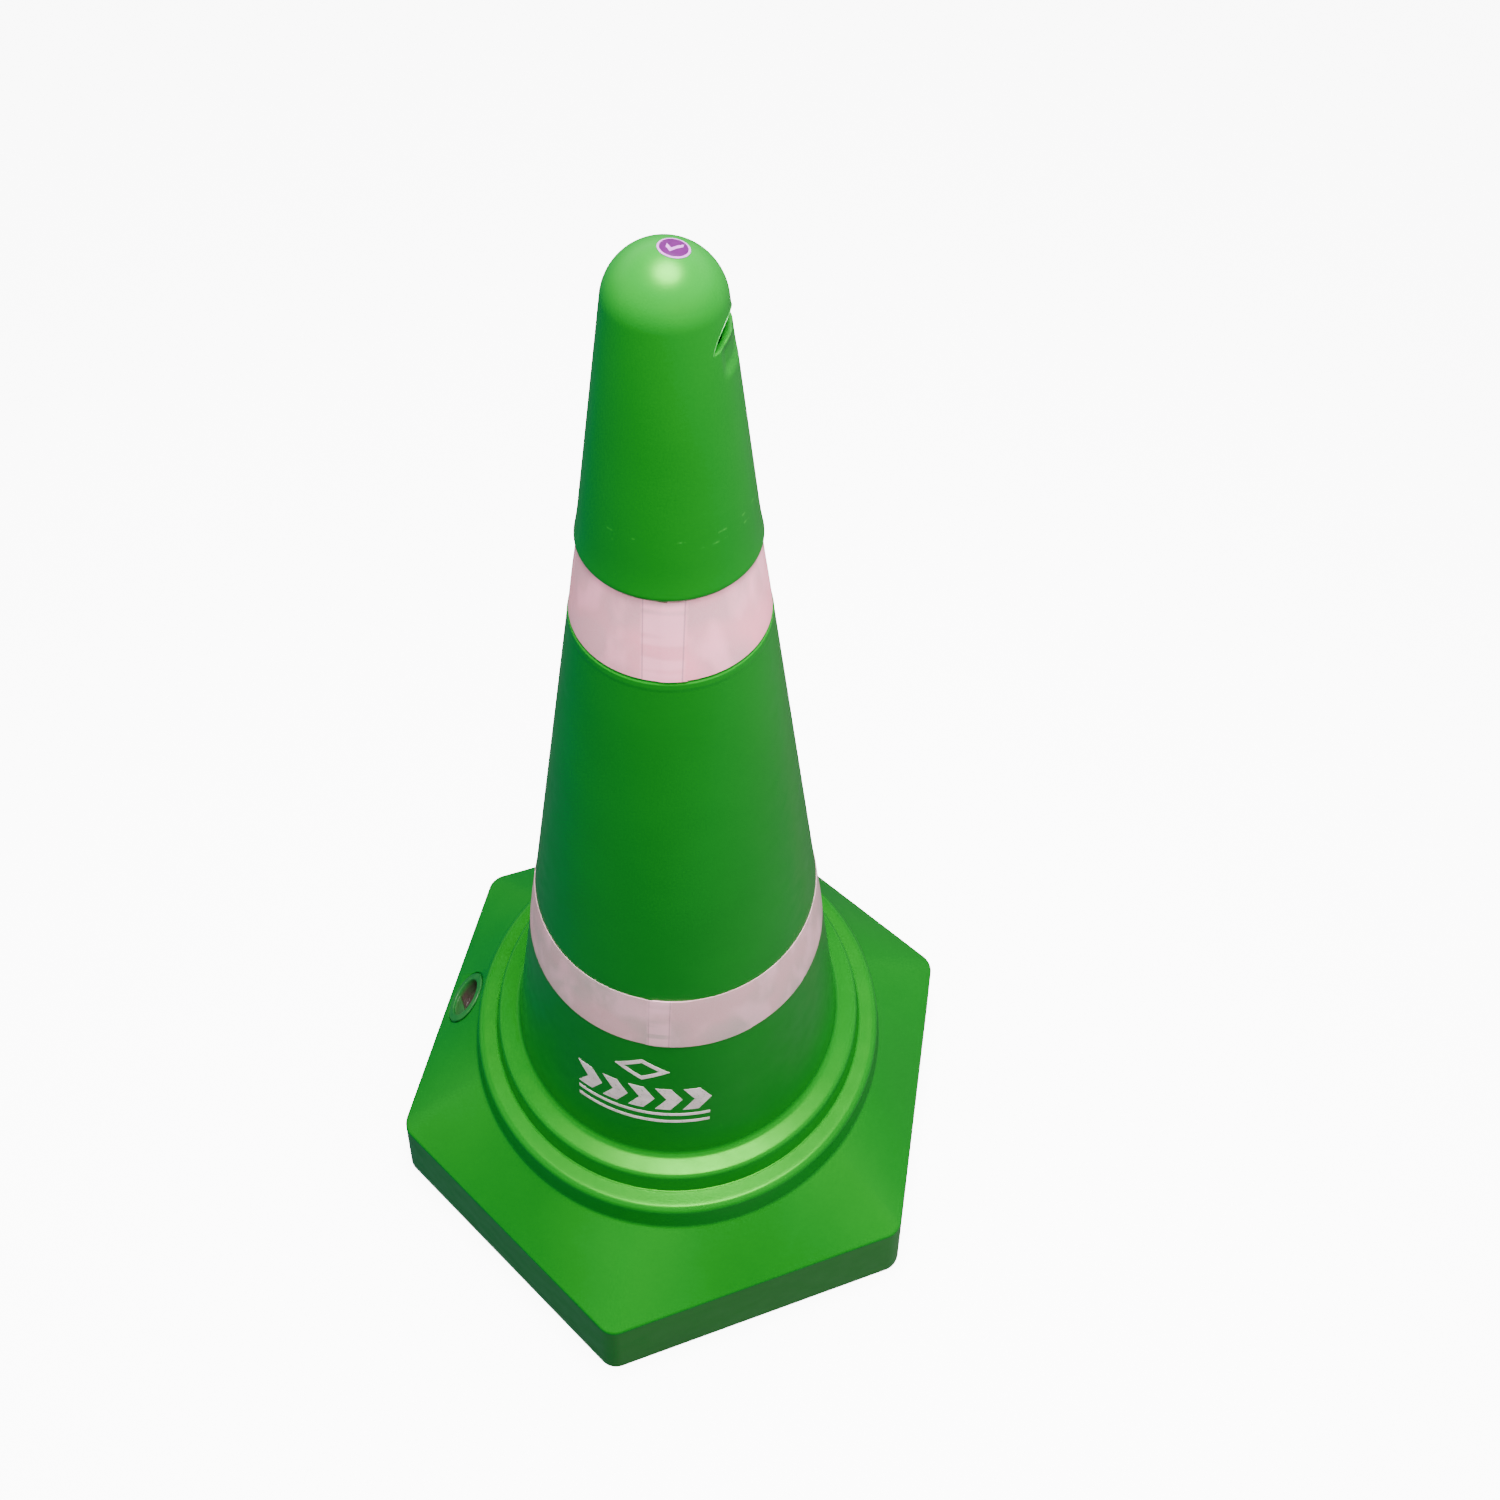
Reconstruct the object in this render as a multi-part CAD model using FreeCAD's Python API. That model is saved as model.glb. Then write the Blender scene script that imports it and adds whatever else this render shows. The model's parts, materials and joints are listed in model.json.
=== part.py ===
import FreeCAD, Part
import math
import os

os.makedirs("parts", exist_ok=True)

# A safety cone in two mouldings. The hollow cone is open underneath, so that cones stack.
# The hexagonal base is a closed, double-walled ring around the cone's skirt, filled with
# sand through a round hole that a push-in plug closes.
# Millimetres. +Z is up, the origin is the centre of the underside, the chain hook faces
# +X, and a corner of the base points along +Y and along -Y.

# ---- cone ----
height = 750.0
dome_radius = 24.9
cone_wall = 2.6
foot_radius = 109.7            # where the cone's wall meets its shoulder
foot_height = 140.0
taper = 0.1481                 # radius lost for each unit of height, below the upper band
head_taper = 0.1368            # the same, from the upper band to the dome
shoulder_radius = 124.0        # outer edge of the flat shoulder round the cone's foot
shoulder_drop = 2.2            # how far the shoulder falls towards its edge
shoulder_round = 2.5
skirt_top_radius = 126.8       # where the skirt passes into the base
skirt_foot_radius = 128.6
flange_radius = 145.5          # the foot flange, which the base sits on
flange_thickness = 3.0

# ---- reflective bands ----
band_width = 46.5              # measured down the wall
band_thickness = 0.4
upper_band_top = 601.0
lower_band_top = 309.5
seat_depth = 0.6               # the upper band lies in a shallow moulded seat
seat_margin_above = 10.5
seat_margin_below = 2.0

# ---- chain hook, on the side of the head ----
hook_sill = 715.0              # lower edge of the half-moon opening
hook_apex = 725.0
hook_half_width = 14.4
pocket_back = 16.4             # distance of the pocket's back wall from the axis
slot_front = 22.6              # inner face of the tongue that holds a chain link
slot_half_width = 7.0
slot_floor = 706.5
tongue_half_width = 9.3
tongue_top = 716.0
tongue_face_top = 25.8         # distance of the tongue's flat face from the axis, at its top
tongue_face_low = 26.9         # the same, where the face starts to run out into the wall
tongue_face_low_height = 705.0
tongue_foot = 697.0            # where the face ends in the wall

# ---- base ----
base_bottom_circumradius = 209.5
base_edge_circumradius = 203.8
base_edge_height = 63.4
base_corner_radius = 14.0
collar_foot_radius = 143.0
collar_foot_height = 101.5
collar_top_radius = 140.0
collar_top_height = 123.0
collar_drop = 0.6              # how far the collar's top falls towards its edge
collar_round = 2.5
base_wall = 2.8
bore_radius = 129.1
lip_radius = 127.1             # the collar's top closes in on the skirt
rebate_radius = 146.0          # recess of the underside that holds the cone's flange
rebate_height = 3.3

# ---- filler hole and plug, on the sloping face towards -X ----
plug_offset_y = -7.5
plug_rim_radius = 18.9
plug_rim_thickness = 1.8
plug_rim_stand_out = 0.6
plug_rim_gap = 0.3             # between the rim and the floor of its seat
plug_body_radius = 16.0
plug_clearance = 0.06
plug_depth = 12.0
plug_wall = 2.2
plug_seat_radius = 20.0
neck_length = 13.0
grip_inset = 6.0               # the grip's edge, measured from the plug's axis
grip_thickness = 2.0
grip_depth = 2.5

# ---- sand, sticker and print ----
sand_level = 42.0
sand_gap = 0.3
sticker_radius = 6.3
sticker_thickness = 0.15
sticker_centre = (3.6, 0.9)
print_thickness = 0.15
chevron_count = 5              # a row of chevrons, a diamond over it and two rules under it
chevron_pitch = 17.0
chevron_width = 9.5
chevron_slant = 7.0
chevron_bottom = 194.0
chevron_top = 217.0
diamond_centre = 236.0
diamond_half_width = 17.0
diamond_half_height = 11.0
diamond_stroke = 0.66          # size of the hole in the diamond, against its outside
rule_half_width = 42.0
rule_thickness = 2.6
rule_heights = (187.0, 179.0)

Z = FreeCAD.Vector(0, 0, 1)
O = FreeCAD.Vector(0, 0, 0)
OVERRUN = 40.0                 # how far a cutting tool runs past the surface it cuts
SHORT_OVERRUN = 1.0            # the same, where something else is close by


def vec(x, y, z):
    return FreeCAD.Vector(x, y, z)


def line_edges(points):
    """Straight edges from one (radius, height) point of the XZ plane to the next."""
    return [Part.LineSegment(vec(a[0], 0, a[1]), vec(b[0], 0, b[1])).toShape()
            for a, b in zip(points, points[1:])]


def polygon(points):
    """Closed outline of (radius, height) points, as edges."""
    return line_edges(points + points[:1])


def lathe(edges):
    """Solid turned about Z from a closed outline in the XZ plane."""
    return Part.Face(Part.Wire(edges)).revolve(O, Z, 360)


def solid_of(shape):
    """The one solid of a shape, tidied and checked."""
    shape = shape.removeSplitter()
    assert shape.isValid() and len(shape.Solids) == 1, "expected one valid solid"
    return shape.Solids[0]


def export(shape, node):
    shape.exportStep("parts/%s.step" % node)
    print("%-24s %10.1f cm3" % (node, shape.Volume / 1000.0))


# ---- the cone's wall ----

def wall_radius(z):
    """Outer radius of the cone's wall below the upper band."""
    return foot_radius - taper * (z - foot_height)


seat_top = upper_band_top + seat_margin_above
seat_bottom = upper_band_top - band_width - seat_margin_below + seat_depth
head_angle = math.atan(head_taper)
dome_centre = height - dome_radius
dome_foot_radius = dome_radius * math.cos(head_angle)
dome_foot_height = dome_centre + dome_radius * math.sin(head_angle)


def head_radius(z):
    """Outer radius of the head's wall, from the upper band to the dome."""
    return dome_foot_radius + head_taper * (dome_foot_height - z)


def cone_outline():
    """Outline of the cone's wall: up the outside, over the dome and down the inside."""
    shoulder_edge = foot_height - shoulder_drop
    outside = [
        (skirt_foot_radius - cone_wall, 0),
        (flange_radius, 0),
        (flange_radius, flange_thickness),
        (skirt_foot_radius, flange_thickness),
        (skirt_top_radius, collar_top_height),
        (shoulder_radius, shoulder_edge),
        (foot_radius, foot_height),
        (wall_radius(seat_bottom - seat_depth), seat_bottom - seat_depth),
        (wall_radius(seat_bottom) - seat_depth, seat_bottom),
        (wall_radius(seat_top) - seat_depth, seat_top - seat_depth),
        (head_radius(seat_top), seat_top),
        (dome_foot_radius, dome_foot_height),
    ]
    inner_dome = dome_radius - cone_wall
    inner_foot = (inner_dome * math.cos(head_angle),
                  dome_centre + inner_dome * math.sin(head_angle))
    inside = [
        inner_foot,
        (wall_radius(seat_top) - seat_depth - cone_wall, seat_top),
        (wall_radius(foot_height) - cone_wall, foot_height - cone_wall),
        (shoulder_radius - cone_wall, shoulder_edge - cone_wall),
        (skirt_top_radius - cone_wall, collar_top_height),
        (skirt_foot_radius - cone_wall, 0),
    ]
    return outside, inside, inner_dome


def dome_edge(radius, foot, top_first):
    """Quarter arc from the wall to the axis, or from the axis to the wall."""
    middle_angle = (math.pi / 2 + head_angle) / 2
    middle = vec(radius * math.cos(middle_angle), 0, dome_centre + radius * math.sin(middle_angle))
    top = vec(0, 0, dome_centre + radius)
    foot_point = vec(foot[0], 0, foot[1])
    ends = (top, foot_point) if top_first else (foot_point, top)
    return Part.Arc(ends[0], middle, ends[1]).toShape()


def filled_cone():
    """The cone's outer shape with nothing inside."""
    outside = cone_outline()[0]
    edges = line_edges([(0, 0)] + outside)
    edges.append(dome_edge(dome_radius, outside[-1], False))
    edges.append(Part.LineSegment(vec(0, 0, height), O).toShape())
    return lathe(edges)


def hollow_cone():
    outside, inside, inner_dome = cone_outline()
    edges = line_edges(outside)
    edges.append(dome_edge(dome_radius, outside[-1], False))
    edges.append(Part.LineSegment(vec(0, 0, height), vec(0, 0, height - cone_wall)).toShape())
    edges.append(dome_edge(inner_dome, inside[0], True))
    edges += line_edges(inside)
    cone = lathe(edges)
    shoulder_edge = foot_height - shoulder_drop
    rounded = [e for e in cone.Edges
               if abs(e.BoundBox.ZMax - shoulder_edge) < 0.01
               and abs(e.BoundBox.XMax - shoulder_radius) < 0.01
               and e.BoundBox.ZLength < 0.01]
    return cone.makeFillet(shoulder_round, rounded)


# ---- chain hook ----

def half_moon(half_width, low, apex, x_from, x_to):
    """Prism along X whose section is an arch over a flat sill."""
    left = vec(x_from, -half_width, low)
    right = vec(x_from, half_width, low)
    arc = Part.Arc(left, vec(x_from, 0, apex), right).toShape()
    sill = Part.LineSegment(right, left).toShape()
    return Part.Face(Part.Wire([arc, sill])).extrude(vec(x_to - x_from, 0, 0))


def hook_opening(grow, x_from, x_to):
    """The hook's half-moon opening, grown by a wall."""
    return half_moon(hook_half_width + grow, hook_sill - grow, hook_apex + grow, x_from, x_to)


def slot_block(grow, x_from, x_to):
    """Block of the slot behind the tongue, grown by a wall on its sides and floor."""
    low = vec(x_from, -slot_half_width - grow, slot_floor - grow)
    rise = hook_sill + SHORT_OVERRUN - low.z
    return Part.makeBox(x_to - x_from, 2 * (slot_half_width + grow), rise, low)


def hook_walls(outer):
    """Pocket walls that stand inside the head."""
    far = dome_radius + OVERRUN
    block = hook_opening(cone_wall, pocket_back - cone_wall, far)
    block = block.fuse(slot_block(cone_wall, pocket_back - cone_wall, far))
    return block.common(outer)


def hook_tongue(outer):
    """Arched tongue that rises from the sill, in front of the slot."""
    root = hook_sill - SHORT_OVERRUN
    far = dome_radius + OVERRUN
    return half_moon(tongue_half_width, root, tongue_top, slot_front, far).common(outer)


def tongue_face_cutter():
    """Everything outside the tongue's flat face and the slope under it."""
    far = dome_radius + OVERRUN
    above = tongue_top + SHORT_OVERRUN
    points = [
        (head_radius(tongue_foot), tongue_foot),
        (tongue_face_low, tongue_face_low_height),
        (tongue_face_top, above),
        (far, above),
        (far, tongue_foot),
    ]
    cutter = Part.Face(Part.Wire(polygon(points))).extrude(vec(0, 2 * tongue_half_width, 0))
    cutter.translate(vec(0, -tongue_half_width, 0))
    return cutter


def make_cone_shell():
    outer = filled_cone()
    shell = hollow_cone()
    shell = shell.fuse(hook_walls(outer))
    shell = shell.cut(hook_opening(0, pocket_back, dome_radius + OVERRUN))
    shell = shell.cut(slot_block(0, pocket_back, slot_front))
    shell = shell.fuse(hook_tongue(outer))
    shell = shell.cut(tongue_face_cutter())
    return solid_of(shell)


# ---- base ----

def hexagon(circumradius, z):
    """Hexagon with rounded corners: a corner arc and a side for each corner."""
    reach = base_corner_radius * math.tan(math.radians(30))
    bulge = base_corner_radius * (1 / math.cos(math.radians(30)) - 1)
    corners = []
    for k in range(6):
        angle = math.radians(30 + 60 * k)
        corners.append(vec(circumradius * math.cos(angle), circumradius * math.sin(angle), z))
    edges = []
    for k in range(6):
        here, before, after = corners[k], corners[k - 1], corners[(k + 1) % 6]
        to_before = (before - here).normalize()
        to_after = (after - here).normalize()
        inward = (vec(0, 0, z) - here).normalize()
        start = here + to_before * reach
        end = here + to_after * reach
        following = after - to_after * reach
        edges.append(Part.Arc(start, here + inward * bulge, end).toShape())
        edges.append(Part.LineSegment(end, following).toShape())
    return Part.Wire(edges)


def circle_for(circumradius, radius, z):
    """Circle split at the angles where the hexagon's corner arcs start and end."""
    reach = base_corner_radius * math.tan(math.radians(30))
    half = math.degrees(math.atan(reach * math.sin(math.radians(60))
                                  / (circumradius - reach * math.cos(math.radians(60)))))
    edges = []
    for k in range(6):
        corner = 30 + 60 * k
        spans = ((corner - half, corner + half), (corner + half, corner + 60 - half))
        for start, end in spans:
            points = []
            for degrees in (start, (start + end) / 2, end):
                angle = math.radians(degrees)
                points.append(vec(radius * math.cos(angle), radius * math.sin(angle), z))
            edges.append(Part.Arc(*points).toShape())
    return Part.Wire(edges)


slope_run = base_edge_circumradius * math.cos(math.radians(30)) - collar_foot_radius
slope_rise = collar_foot_height - base_edge_height
slope_angle = math.atan2(slope_rise, slope_run)


def base_block(inset, floor):
    """The base's outer shape, or its hollow when inset by the wall, with no bore."""
    corner_inset = inset / math.cos(math.radians(30))
    drop = inset * (1 - math.sin(slope_angle)) / math.cos(slope_angle)
    bottom = hexagon(base_bottom_circumradius - corner_inset, floor)
    edge = hexagon(base_edge_circumradius - corner_inset, base_edge_height - drop)
    ring = circle_for(base_edge_circumradius - corner_inset,
                      collar_foot_radius - inset, collar_foot_height - drop)
    skirt = Part.makeLoft([bottom, edge], True, True)
    slope = Part.makeLoft([edge, ring], True, True)
    collar = lathe(polygon([
        (0, floor),
        (collar_foot_radius - inset, floor),
        (collar_foot_radius - inset, collar_foot_height - drop),
        (collar_top_radius - inset, collar_top_height - collar_drop - inset),
        (lip_radius, collar_top_height - inset),
        (0, collar_top_height - inset),
    ]))
    return skirt.fuse(slope).fuse(collar).removeSplitter()


def rounded_block():
    """The base's outer shape with its soft edges."""
    block = base_block(0, 0)
    top_edges = [e for e in block.Edges
                 if e.BoundBox.ZLength < 0.01
                 and abs(e.BoundBox.ZMax - collar_top_height + collar_drop) < 0.01]
    return block.makeFillet(collar_round, top_edges)


def below(z):
    """Slab that keeps what lies below a height."""
    reach = 2 * base_bottom_circumradius
    return Part.makeBox(2 * reach, 2 * reach, OVERRUN + z, vec(-reach, -reach, -OVERRUN))


# The plug's axis leaves the sloping face at a right angle, half-way up the face.
plug_centre = vec(-(collar_foot_radius + slope_run / 2), plug_offset_y,
                  base_edge_height + slope_rise / 2)
plug_axis = vec(-math.sin(slope_angle), 0, math.cos(slope_angle))


def plug_cylinder(radius, start, length):
    """Cylinder on the plug's axis, from a distance outside the sloping face."""
    return Part.makeCylinder(radius, length, plug_centre + plug_axis * start, plug_axis)


def base_core(grow):
    """The stepped bore, grown by a wall, up to the collar's top."""
    return lathe(polygon([
        (0, 0),
        (rebate_radius + grow, 0),
        (rebate_radius + grow, rebate_height + grow),
        (bore_radius + grow, rebate_height + grow),
        (bore_radius + grow, collar_top_height),
        (0, collar_top_height),
    ]))


def make_base_shell():
    hollow = base_block(base_wall, base_wall)
    inner_wall = base_core(base_wall)
    neck = plug_cylinder(plug_body_radius + plug_clearance + base_wall, -neck_length, neck_length)
    seat_depth_below = plug_rim_thickness + plug_rim_gap + base_wall
    seat_floor = plug_cylinder(plug_seat_radius + base_wall, -seat_depth_below, seat_depth_below)
    hollow = hollow.cut(inner_wall).cut(neck).cut(seat_floor)
    bore = lathe(polygon([
        (0, -SHORT_OVERRUN),
        (rebate_radius, -SHORT_OVERRUN),
        (rebate_radius, rebate_height),
        (bore_radius, rebate_height),
        (bore_radius, collar_top_height - base_wall),
        (lip_radius, collar_top_height - base_wall),
        (lip_radius, collar_top_height + SHORT_OVERRUN),
        (0, collar_top_height + SHORT_OVERRUN),
    ]))
    shell = rounded_block().cut(hollow).cut(bore)
    filler_hole = plug_cylinder(plug_body_radius + plug_clearance,
                                -neck_length - SHORT_OVERRUN, OVERRUN)
    seat_level = plug_rim_stand_out - plug_rim_thickness - plug_rim_gap
    rim_seat = plug_cylinder(plug_seat_radius, seat_level, OVERRUN)
    return solid_of(shell.cut(filler_hole).cut(rim_seat))


def make_sand():
    """Sand that fills the lower part of the base's hollow."""
    hollow = base_block(base_wall + sand_gap, base_wall + sand_gap)
    core = base_core(base_wall + sand_gap)
    return solid_of(hollow.cut(core).common(below(sand_level)))


def make_plug():
    """Push-in cup with a rim, and a half-moon grip across part of its mouth."""
    rim_top = plug_rim_stand_out
    body = plug_cylinder(plug_body_radius, -plug_depth, plug_depth + rim_top)
    rim = plug_cylinder(plug_rim_radius, rim_top - plug_rim_thickness, plug_rim_thickness)
    cup = plug_cylinder(plug_body_radius - plug_wall, -plug_depth + plug_wall, OVERRUN)
    grip = plug_cylinder(plug_body_radius, rim_top - grip_depth - grip_thickness, grip_thickness)
    along_slope = vec(math.cos(slope_angle), 0, math.sin(slope_angle))
    inward = (vec(0, -1, 0) - along_slope).normalize()
    across = plug_axis.cross(inward)
    frame = FreeCAD.Matrix(
        inward.x, across.x, plug_axis.x, plug_centre.x,
        inward.y, across.y, plug_axis.y, plug_centre.y,
        inward.z, across.z, plug_axis.z, plug_centre.z,
        0, 0, 0, 1)
    beyond = Part.makeBox(OVERRUN, 2 * OVERRUN, OVERRUN,
                          vec(grip_inset, -OVERRUN, -OVERRUN / 2))
    grip = grip.common(beyond.transformGeometry(frame))
    return solid_of(body.fuse(rim).cut(cup).fuse(grip))


# ---- bands, sticker and print ----

def wall_sleeve(top, bottom, inner_offset, thickness):
    """Thin conical sleeve lying on the cone's wall."""
    return lathe(polygon([
        (wall_radius(bottom) + inner_offset, bottom),
        (wall_radius(bottom) + inner_offset + thickness, bottom),
        (wall_radius(top) + inner_offset + thickness, top),
        (wall_radius(top) + inner_offset, top),
    ]))


def make_band(top, inner_offset):
    bottom = top - band_width * math.cos(math.atan(taper))
    return solid_of(wall_sleeve(top, bottom, inner_offset, band_thickness))


def make_sticker():
    """Round sticker that follows the dome."""
    centre = vec(0, 0, dome_centre)
    outside = Part.makeSphere(dome_radius + sticker_thickness, centre)
    skin = outside.cut(Part.makeSphere(dome_radius, centre))
    punch = Part.makeCylinder(sticker_radius, dome_radius * 2,
                              vec(sticker_centre[0], sticker_centre[1], dome_centre), Z)
    return solid_of(skin.common(punch))


def stamp(sleeve, points):
    """The part of the sleeve that an outline of (across, height) points covers, on -Y."""
    face = Part.Face(Part.Wire(polygon(points)))
    return sleeve.common(face.extrude(vec(0, -2 * foot_radius, 0)))


def make_print():
    """Printed pattern on the front of the cone, centred on -Y, as separate areas of ink."""
    top = diamond_centre + diamond_half_height + SHORT_OVERRUN
    bottom = min(rule_heights) - SHORT_OVERRUN
    sleeve = wall_sleeve(top, bottom, 0, print_thickness)
    areas = []
    middle = (chevron_bottom + chevron_top) / 2
    for k in range(chevron_count):
        left = (k - (chevron_count - 1) / 2) * chevron_pitch - (chevron_width + chevron_slant) / 2
        areas.append(stamp(sleeve, [
            (left, chevron_bottom),
            (left + chevron_width, chevron_bottom),
            (left + chevron_width + chevron_slant, middle),
            (left + chevron_width, chevron_top),
            (left, chevron_top),
            (left + chevron_slant, middle),
        ]))
    outer, inner = [[(0, diamond_centre - diamond_half_height * size),
                     (diamond_half_width * size, diamond_centre),
                     (0, diamond_centre + diamond_half_height * size),
                     (-diamond_half_width * size, diamond_centre)]
                    for size in (1, diamond_stroke)]
    areas.append(stamp(sleeve, outer).cut(stamp(sleeve, inner)))
    for low in rule_heights:
        areas.append(stamp(sleeve, [
            (-rule_half_width, low),
            (rule_half_width, low),
            (rule_half_width, low + rule_thickness),
            (-rule_half_width, low + rule_thickness),
        ]))
    return Part.makeCompound([solid for area in areas for solid in area.Solids])


export(make_cone_shell(), "cone_shell")
export(make_base_shell(), "base_shell")
export(make_sand(), "sand_ballast")
export(make_plug(), "filler_plug")
export(make_band(upper_band_top, -seat_depth), "upper_reflective_band")
export(make_band(lower_band_top, 0), "lower_reflective_band")
export(make_sticker(), "inspection_sticker")
export(make_print(), "printed_mark")
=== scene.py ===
"""Looks of a tall safety cone that stands in a hexagonal, sand-filled base ring.

Metres. +Z is up, the origin is the centre of the underside, the chain hook faces +X,
and a corner of the base points along +Y and along -Y.
"""

import json
import math

import bmesh
import bpy
import numpy as np
from mathutils import Matrix, Vector


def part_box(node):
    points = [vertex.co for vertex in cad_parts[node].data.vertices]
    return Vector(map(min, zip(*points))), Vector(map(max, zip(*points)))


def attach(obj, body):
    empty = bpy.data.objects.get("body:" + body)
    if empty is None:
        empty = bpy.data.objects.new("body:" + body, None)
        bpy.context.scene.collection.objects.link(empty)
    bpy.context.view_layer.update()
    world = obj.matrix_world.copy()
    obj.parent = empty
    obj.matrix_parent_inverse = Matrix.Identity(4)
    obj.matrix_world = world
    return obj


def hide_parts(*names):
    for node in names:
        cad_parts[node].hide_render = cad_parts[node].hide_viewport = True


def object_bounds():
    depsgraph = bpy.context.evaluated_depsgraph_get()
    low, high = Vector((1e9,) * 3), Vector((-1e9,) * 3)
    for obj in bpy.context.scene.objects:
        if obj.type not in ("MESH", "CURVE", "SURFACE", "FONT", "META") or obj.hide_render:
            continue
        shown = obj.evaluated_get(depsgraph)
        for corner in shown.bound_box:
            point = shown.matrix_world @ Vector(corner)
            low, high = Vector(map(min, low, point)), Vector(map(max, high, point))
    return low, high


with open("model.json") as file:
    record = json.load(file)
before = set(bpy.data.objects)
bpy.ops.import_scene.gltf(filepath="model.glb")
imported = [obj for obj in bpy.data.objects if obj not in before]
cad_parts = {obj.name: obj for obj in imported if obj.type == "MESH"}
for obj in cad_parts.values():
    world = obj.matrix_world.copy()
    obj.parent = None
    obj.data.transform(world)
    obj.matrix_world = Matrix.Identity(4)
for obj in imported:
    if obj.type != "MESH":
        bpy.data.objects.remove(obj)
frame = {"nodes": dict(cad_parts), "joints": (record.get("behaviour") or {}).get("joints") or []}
cad_low, cad_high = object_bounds()

MM = 0.001
COS_30 = math.cos(math.radians(30))

# ---- cone ----
HEIGHT = cad_high.z
DOME_RADIUS = 24.9 * MM
CONE_WALL = 2.6 * MM
FOOT_RADIUS = 109.7 * MM           # where the cone's wall meets its shoulder
FOOT_HEIGHT = 140.0 * MM
TAPER = 0.1481                     # radius lost for each unit of height, below the upper band
HEAD_TAPER = 0.1368                # the same, from the upper band to the dome
HEAD_INNER_TAPER = 0.125
SHOULDER_RADIUS = 124.0 * MM
SHOULDER_DROP = 2.2 * MM
SKIRT_TOP_RADIUS = 127.08 * MM
SKIRT_FOOT_RADIUS = 128.6 * MM
FLANGE_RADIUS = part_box("cone_shell")[1].x
FLANGE_THICKNESS = 3.0 * MM
SEAT_DEPTH = 0.6 * MM              # the upper band lies in a shallow moulded seat
SEAT_TOP = 602.0 * MM
BULGE_TOP = 620.0 * MM             # the head swells a little from here down to its foot
HEAD_BULGE = 0.7 * MM
LIP_BEAD = 0.12 * MM               # the rounded lip under the upper band
LIP_HEIGHT = 3.2 * MM
LIP_SETBACK = 2.0 * MM             # from the band's lower edge down to the lip's top
LIP_RAMP = 2.0 * MM

# ---- chain hook ----
HOOK_SILL = 715.0 * MM
HOOK_APEX = 725.0 * MM
HOOK_HALF_WIDTH = 14.4 * MM
POCKET_BACK = 16.4 * MM
SLOT_FRONT = 22.6 * MM
SLOT_HALF_WIDTH = 7.0 * MM
SLOT_FLOOR = 706.5 * MM
TONGUE_HALF_WIDTH = 9.3 * MM
TONGUE_TOP = 716.0 * MM
TONGUE_SINK = 1.4 * MM             # how deep the tongue's foot lies in the head's wall
TONGUE_SINK_SPAN = (700 * MM, 706.5 * MM, 711 * MM, 720 * MM)
TONGUE_SINK_BLEND = 3.0 * MM       # how softly the sunk face ends at each side
MOUTH_ROUND = 0.35 * MM
FLASH_GAP = 0.35 * MM              # from the opening's edge to the line of flash round it
FLASH_RADIUS = 0.2 * MM
HEAD_CUT = 690.0 * MM              # the head is a net above this height and turned below it

# ---- base ----
BOTTOM_CIRCUMRADIUS = 209.5 * MM
EDGE_CIRCUMRADIUS = 203.8 * MM
EDGE_HEIGHT = 63.4 * MM
CORNER_RADIUS = 14.0 * MM
COLLAR_FOOT_RADIUS = 143.0 * MM
COLLAR_FOOT_HEIGHT = 101.5 * MM
COLLAR_TOP_RADIUS = 140.0 * MM
COLLAR_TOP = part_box("base_shell")[1].z
COLLAR_DROP = 0.2 * MM
COLLAR_LIP = 0.55 * MM             # the thin raised edge round the collar's mouth
COLLAR_LIP_WIDTH = 0.9 * MM
COLLAR_LIP_SLANT = 0.2 * MM
BASE_WALL = 2.8 * MM
HOLLOW_DROP = 1.4 * MM             # the hollow's edges lie this much lower than the wall's edges
BORE_RADIUS = 129.1 * MM
LIP_RADIUS = 127.1 * MM
REBATE_RADIUS = 146.0 * MM
REBATE_HEIGHT = 3.3 * MM

# ---- filler hole and plug ----
PLUG_AXIS = Vector(frame["joints"][0]["axis"])
PLUG_RIM_RADIUS = 18.9 * MM
PLUG_RIM_THICKNESS = 1.8 * MM
PLUG_STAND_OUT = 0.6 * MM
PLUG_BODY_RADIUS = 16.0 * MM
PLUG_DEPTH = 12.0 * MM
PLUG_WALL = 2.2 * MM
PLUG_SEAT_RADIUS = 20.0 * MM
PLUG_SEAT_LEVEL = -1.5 * MM
PLUG_CLEARANCE = 0.06 * MM
NECK_LENGTH = 13.0 * MM
PLUG_OFFSET_Y = -7.5 * MM
GRIP_INSET = 6.0 * MM
GRIP_THICKNESS = 2.0 * MM
GRIP_DEPTH = 2.5 * MM
MOUTH_FLARE = 2.7 * MM
NECK_TOP = -1.2 * MM               # inside the base's wall, so that neck and wall join
SLOPE_RUN = EDGE_CIRCUMRADIUS * COS_30 - COLLAR_FOOT_RADIUS
SLOPE_RISE = COLLAR_FOOT_HEIGHT - EDGE_HEIGHT
PLUG_CENTRE = Vector((-(COLLAR_FOOT_RADIUS + SLOPE_RUN / 2), PLUG_OFFSET_Y,
                      EDGE_HEIGHT + SLOPE_RISE / 2))
UP_SLOPE = Vector((PLUG_AXIS.z, 0, -PLUG_AXIS.x))
PLUG_ACROSS = (Vector((0, -1, 0)) - UP_SLOPE).normalized()

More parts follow.
